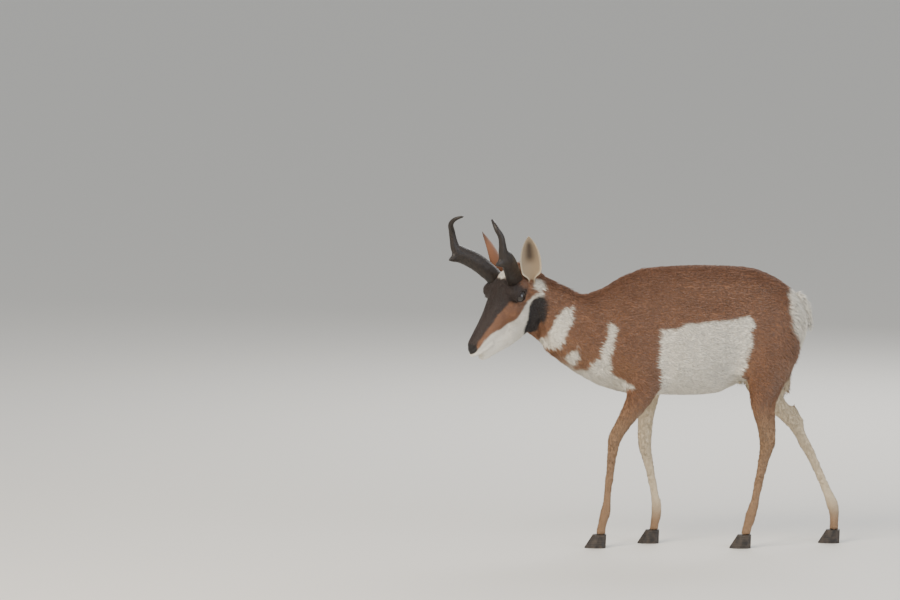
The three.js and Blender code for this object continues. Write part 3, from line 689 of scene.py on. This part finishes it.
eyeSet = {"radius": 18.9 * millimetre, "turns": 64, "rings": 40, "bulge": 1.4 * millimetre}
eyeLook = eyeMaterial()
for side, middle, node in ((1, eyeLeft, "eye_left"), (-1, eyeRight, "eye_right")):
    pole = headTurn @ np.array((0.32, side * 0.94, -0.08))  # where the eye looks: out and a little ahead
    pole /= np.linalg.norm(pole)
    level = np.cross(pole, headTurn[:, 2])
    level /= np.linalg.norm(level)
    rise = np.cross(level, pole)
    points = [middle + pole * (eyeSet["radius"] + eyeSet["bulge"])]
    for r in range(1, eyeSet["rings"]):
        polar = math.pi * r / eyeSet["rings"]
        size = eyeSet["radius"] + eyeSet["bulge"] * math.exp(-(polar / 0.55) ** 2)
        for k in range(eyeSet["turns"]):
            turn = 2 * math.pi * k / eyeSet["turns"]
            points.append(middle + size * (pole * math.cos(polar) + math.sin(polar)
                                           * (level * math.cos(turn) + rise * math.sin(turn))))
    points.append(middle - pole * eyeSet["radius"])
    turns, last = eyeSet["turns"], len(points) - 1
    faces = [(0, 1 + k, 1 + (k + 1) % turns) for k in range(turns)]
    for r in range(eyeSet["rings"] - 2):
        a = 1 + r * turns
        b = a + turns
        faces += [(a + k, b + k, b + (k + 1) % turns, a + (k + 1) % turns) for k in range(turns)]
    faces += [(last, last - turns + (k + 1) % turns, last - turns + k) for k in range(turns)]
    points = np.array(points)
    away = (points - middle) / eyeSet["radius"]
    across, high, ahead = away @ level, away @ rise, away @ pole
    iris = 1 - ease(np.hypot(across, high), 0.60, 0.72)
    pupil = 1 - ease(np.hypot(across / 0.40, high / 0.17), 0.85, 1.1)
    white, brown, black = (np.array(linear(c)) for c in ("#15100d", "#1b0f08", "#030202"))
    shades = white + (brown - white) * iris[:, None]
    shades = shades + (black - shades) * (pupil * (ahead > 0))[:, None]
    ball = meshObject("eyeball_" + node[4:], points, faces, eyeLook)
    setColours(ball.data, shades)
    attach(ball, "root")
    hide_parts(node)


def plainMaterial(name, colour, roughness):
    material, tree = newMaterial(name)
    shader = addNode(tree, "ShaderNodeBsdfPrincipled",
                     {"Base Color": (*linear(colour), 1), "Roughness": roughness})
    addNode(tree, "ShaderNodeOutputMaterial", None, {"Surface": shader.outputs["BSDF"]})
    return material


# Hoof: dark slate horn with level growth rings, dusty where it is worn
def hoofMaterial():
    material, tree = newMaterial("hoof horn, ringed by growth and scuffed by stony ground")
    place = addNode(tree, "ShaderNodeTexCoord")
    rings = addNode(tree, "ShaderNodeTexWave", {"bands_direction": "Z", "Scale": 55.0, "Distortion": 2.2,
                                                "Detail": 2.0}, {"Vector": place.outputs["Object"]})
    dust = addNode(tree, "ShaderNodeTexNoise", {"Scale": 70.0, "Detail": 4.0},  # 14 mm patches
                   {"Vector": place.outputs["Object"]})
    shade = ramp(tree, dust.outputs["Fac"], (0.35, "#1c1714"), (0.8, "#4a3f35"))
    rough = addNode(tree, "ShaderNodeMapRange", {"To Min": 0.42, "To Max": 0.7},
                    {"Value": dust.outputs["Fac"]})
    relief = addNode(tree, "ShaderNodeBump", {"Strength": 0.5, "Distance": 0.7 * millimetre},
                     {"Height": rings.outputs["Fac"]})
    shader = addNode(tree, "ShaderNodeBsdfPrincipled", None,
                     {"Base Color": shade.outputs["Color"], "Roughness": rough.outputs["Result"],
                      "Normal": relief.outputs["Normal"]})
    addNode(tree, "ShaderNodeOutputMaterial", None, {"Surface": shader.outputs["BSDF"]})
    return material


hoofLook = hoofMaterial()
for name in ("hoof_fore_left", "hoof_fore_right", "hoof_hind_left", "hoof_hind_right"):
    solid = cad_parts[name].data
    faces = [p.vertices for p in solid.polygons]
    hoof = meshObject(name.replace("hoof_", "hoof_horn_"), pointsOf(solid), faces, hoofLook)
    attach(hoof, "root")
    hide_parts(name)

# Tufts: flat tapered blades, rooted in the skin and laid along the coat's flow
coatSet = {"count": 105000, "rootDepth": 0.8 * millimetre, "patch": 0.003}
dice = np.random.default_rng(41)


def flowOf(points, normals):
    neckShare = 1 - ease(points[:, 0], -0.30, -0.05)
    rumpShare = ease(points[:, 0], 0.36, 0.46)
    side = np.sign(points[:, 1] - bodyMiddleY)
    steep = 0.28 + 0.45 * neckShare + 0.9 * rumpShare
    flow = np.stack([np.ones(len(points)), 0.15 * side * ease(normals[:, 2], 0.2, 0.9), -steep], 1)
    legs = legWeight(points)[:, None]
    flow = flow * (1 - legs) + np.array((0.05, 0, -1.0)) * legs
    head = headWeight(points)[:, None]
    back = -noseAxis + 0.25 * np.outer(np.sign((points - headOrigin) @ leftAxis), leftAxis)
    flow = flow * (1 - head) + back * head
    flow = flow - normals * (flow * normals).sum(1)[:, None]
    return flow / np.maximum(np.linalg.norm(flow, axis=1), 1e-6)[:, None]


def lengthAndLift(points, normals):
    z = points[:, 2]
    length, lift = np.full(len(points), 19.0), np.full(len(points), 0.17)

    def mix(share, hair, stand):
        length[:] += (hair - length) * np.clip(share, 0, 1)
        lift[:] += (stand - lift) * np.clip(share, 0, 1)

    mix(ease(-normals[:, 2], 0.4, 0.8), 15, 0.2)
    mix(ease(points[:, 0], 0.40, 0.46) * ease(z, 0.55, 0.62), 25, 0.36)
    mix((1 - ease(points[:, 0], -0.24, -0.12)) * ease(normals[:, 2], 0.5, 0.9), 27, 0.3)
    mix(1 - ease(z, 0.42, 0.56), 11, 0.14)
    mix(1 - ease(z, 0.12, 0.35), 6, 0.13)
    head = headWeight(points)
    ahead = toHead(points)[:, 0]
    mix(head, 8.0, 0.16)
    mix(head * ease(ahead, 40, 130), 4.0, 0.14)
    return length * millimetre, lift


def barePlaces(points):  # no hair on the eye, the lids' inner edge and the nose pad
    local = toHead(points)
    bare = np.zeros(len(points), bool)
    for side in (1, -1):
        eye = np.array(headShape["eyeAt"]) * (1, side, 1)
        bare |= np.linalg.norm(local - eye, axis=1) < headShape["eyeRadius"] + 3.4
    padMiddle, padReach = np.array((187, 0, -60)), np.array((16, 22, 14))
    pad = np.linalg.norm((local - padMiddle) / padReach, axis=1)
    return bare | (pad < 0.95)


def sampled(mesh, count, weight):
    mesh.calc_loop_triangles()
    corners = np.empty(len(mesh.loop_triangles) * 3, np.int32)
    mesh.loop_triangles.foreach_get("vertices", corners)
    corners = corners.reshape(-1, 3)
    points, normals = pointsOf(mesh), normalsOf(mesh)
    a, b, c = (points[corners[:, i]] for i in range(3))
    size = np.linalg.norm(np.cross(b - a, c - a), axis=1) * weight((a + b + c) / 3)
    pick = dice.choice(len(size), count, p=size / size.sum())
    u, v = dice.random(count), dice.random(count)
    u, v = np.where(u + v > 1, 1 - u, u)[:, None], np.where(u + v > 1, 1 - v, v)[:, None]
    spots = a[pick] * (1 - u - v) + b[pick] * u + c[pick] * v
    n = normals[corners[pick]]
    facing = n[:, 0] * (1 - u - v) + n[:, 1] * u + n[:, 2] * v
    return spots, facing / np.linalg.norm(facing, axis=1)[:, None]


def unwrapped(points, axis):  # round the middle line of the piece and along it
    axis = np.array(axis, float) / np.linalg.norm(axis)
    along = points @ axis
    one = np.cross(axis, (0.31, 0.2, 0.93))
    one /= np.linalg.norm(one)
    two = np.cross(axis, one)
    stops = np.linspace(along.min(), along.max(), 12)
    nearest = np.abs(along[:, None] - stops).argmin(1)
    groups = [points[nearest == i] for i in range(len(stops))]
    middles = np.array([group.mean(0) if len(group) else points.mean(0) for group in groups])
    middle = np.stack([np.interp(along, stops, middles[:, i]) for i in range(3)], 1)
    angle = np.arctan2((points - middle) @ one, (points - middle) @ two)
    uv = np.stack([angle, along], 1)
    return (uv - uv.min(0)) / np.maximum(np.ptp(uv, axis=0), 1e-6) * 0.99


def bladeMesh(name, roots, normals, flow, length, lift, width, shades, axis):
    count = len(roots)
    across = np.cross(flow, normals)
    thick = normals * (width * 0.3)[:, None]
    half = across * (width * 0.5)[:, None]
    rise = (np.sin(lift) * length)[:, None] * normals
    start = roots - normals * coatSet["rootDepth"]
    middle = roots + flow * (length * 0.52)[:, None] + rise * 0.62
    tip = roots + flow * length[:, None] + rise * 0.86
    rings = [start - half, start + half, start + thick,
             middle - half * 0.8, middle + half * 0.8, middle + thick, tip]
    corners = np.stack(rings, 1).reshape(-1, 3)
    pattern = np.array([(0, 1, 2), (0, 3, 4), (0, 4, 1), (1, 4, 5), (1, 5, 2), (2, 5, 3), (2, 3, 0),
                        (3, 6, 4), (4, 6, 5), (5, 6, 3)])
    triangles = (pattern[None] + 7 * np.arange(count)[:, None, None]).reshape(-1, 3)
    mesh = bpy.data.meshes.new(name)
    mesh.vertices.add(len(corners))
    mesh.vertices.foreach_set("co", corners.astype(np.float32).ravel())
    mesh.loops.add(triangles.size)
    mesh.loops.foreach_set("vertex_index", triangles.astype(np.int32).ravel())
    mesh.polygons.add(len(triangles))
    mesh.polygons.foreach_set("loop_start", np.arange(0, triangles.size, 3, dtype=np.int32))
    mesh.update(calc_edges=True)
    # Painted shade and painted light along each tuft: darker at the root, lighter towards the tip
    steps = np.array((0.74, 0.74, 0.80, 1.0, 1.0, 1.04, 1.16))
    setColours(mesh, np.clip(shades[:, None, :] * steps[None, :, None], 0, 1).reshape(-1, 3))
    uv = unwrapped(roots, axis)
    spread = np.array([(0, 0), (1, 0), (0.5, 0.1), (0.1, 0.55), (0.9, 0.55), (0.5, 0.6), (0.5, 1)])
    places = (uv[:, None, :] + spread[None] * coatSet["patch"]).reshape(-1, 2)
    layer = mesh.uv_layers.new(name="OFBake")
    layer.data.foreach_set("uv", places[triangles.ravel()].astype(np.float32).ravel())
    mesh.materials.append(coatLook)
    piece = bpy.data.objects.new(name, mesh)
    bpy.context.scene.collection.objects.link(piece)
    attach(piece, "root")
    return piece


def hairDensity(points):
    return 1 + 1.7 * headWeight(points) + 0.5 * (1 - ease(points[:, 2], 0.1, 0.4))


roots, facing = sampled(skin.data, coatSet["count"], hairDensity)
keep = ~barePlaces(roots)
roots, facing = roots[keep], facing[keep]
flow = flowOf(roots, facing)
sway = (dice.normal(0, 0.16, len(roots)) + 0.22 * waver(roots, 0.03, 1.0))[:, None]
flow = flow + np.cross(facing, flow) * sway
flow /= np.linalg.norm(flow, axis=1)[:, None]
length, lift = lengthAndLift(roots, facing)
length *= dice.uniform(0.75, 1.2, len(roots))
lift *= dice.uniform(0.6, 1.35, len(roots))
width = np.clip(length * 0.13, 0.9 * millimetre, 2.6 * millimetre)
mottle = 1 + 0.10 * dice.normal(0, 1, len(roots)) + 0.05 * waver(roots, 0.012)
shades = coatColour(roots, facing) * mottle[:, None]
ahead = headWeight(roots) > 0.5
lowLeg = (legWeight(roots) > 0.5) & ~ahead
right = roots[:, 1] > bodyMiddleY
fore = roots[:, 0] < 0.12
trunkBands = [("neck", -9, -0.17), ("chest", -0.17, 0.05), ("flank", 0.05, 0.27), ("rump", 0.27, 9)]
pieces = [("coat_head", ahead, noseAxis)]
for sideName, onSide in (("left", ~right), ("right", right)):
    pieces.append(("coat_foreleg_" + sideName, lowLeg & onSide & fore, (0, 0, 1)))
    pieces.append(("coat_hindleg_" + sideName, lowLeg & onSide & ~fore, (0, 0, 1)))
    for part, start, end in trunkBands:
        band = (roots[:, 0] >= start) & (roots[:, 0] < end)
        pieces.append((f"coat_{part}_{sideName}", ~ahead & ~lowLeg & onSide & band, (1, 0, 0)))
for name, chosen, axis in pieces:
    bladeMesh(name, roots[chosen], facing[chosen], flow[chosen], length[chosen], lift[chosen],
              width[chosen], shades[chosen], axis)
    print(name, int(chosen.sum()))


# Camera at the photo's view: level with the flank, a little above, from far off
viewSet = {"target": (-0.6096, 0.047, 0.7725), "elevation": math.radians(6), "distance": 25.0, "lens": 320.0}
camera = bpy.data.objects.new("camera", bpy.data.cameras.new("camera"))
bpy.context.scene.collection.objects.link(camera)
target = Vector(viewSet["target"])
back = Vector((0, -math.cos(viewSet["elevation"]), math.sin(viewSet["elevation"])))
camera.location = target + back * viewSet["distance"]
camera.rotation_euler = (target - camera.location).to_track_quat("-Z", "Y").to_euler()
camera.data.lens = viewSet["lens"]
camera.data.sensor_width = 36.0
camera.data.clip_end = 200
bpy.context.scene.camera = camera

# Floor and light
floorMaterial = plainMaterial("pale studio floor", "#d9d6cf", 0.9)
floorCorners = [(-40, -40, 0), (40, -40, 0), (40, 40, 0), (-40, 40, 0)]
floor = meshObject("floor", floorCorners, [(0, 1, 2, 3)], floorMaterial)


def areaLight(name, place, size, power, colour="#ffffff"):
    lamp = bpy.data.lights.new(name, "AREA")
    lamp.energy, lamp.size, lamp.color = power, size, linear(colour)
    holder = bpy.data.objects.new(name, lamp)
    bpy.context.scene.collection.objects.link(holder)
    holder.location = place
    holder.rotation_euler = (Vector((0, 0.05, 0.6)) - Vector(place)).to_track_quat("-Z", "Y").to_euler()


areaLight("key", (-2.6, -3.4, 4.2), 3.0, 330, "#fff3e2")
areaLight("fill", (3.4, -3.0, 2.2), 3.5, 120, "#eef4ff")
areaLight("rim", (1.2, 4.0, 3.4), 3.0, 180)
world = bpy.data.worlds.new("studio")
bpy.context.scene.world = world
world.use_nodes = True
world.node_tree.nodes["Background"].inputs["Color"].default_value = (*linear("#e8ebee"), 1)
world.node_tree.nodes["Background"].inputs["Strength"].default_value = 0.75

print("scene done")
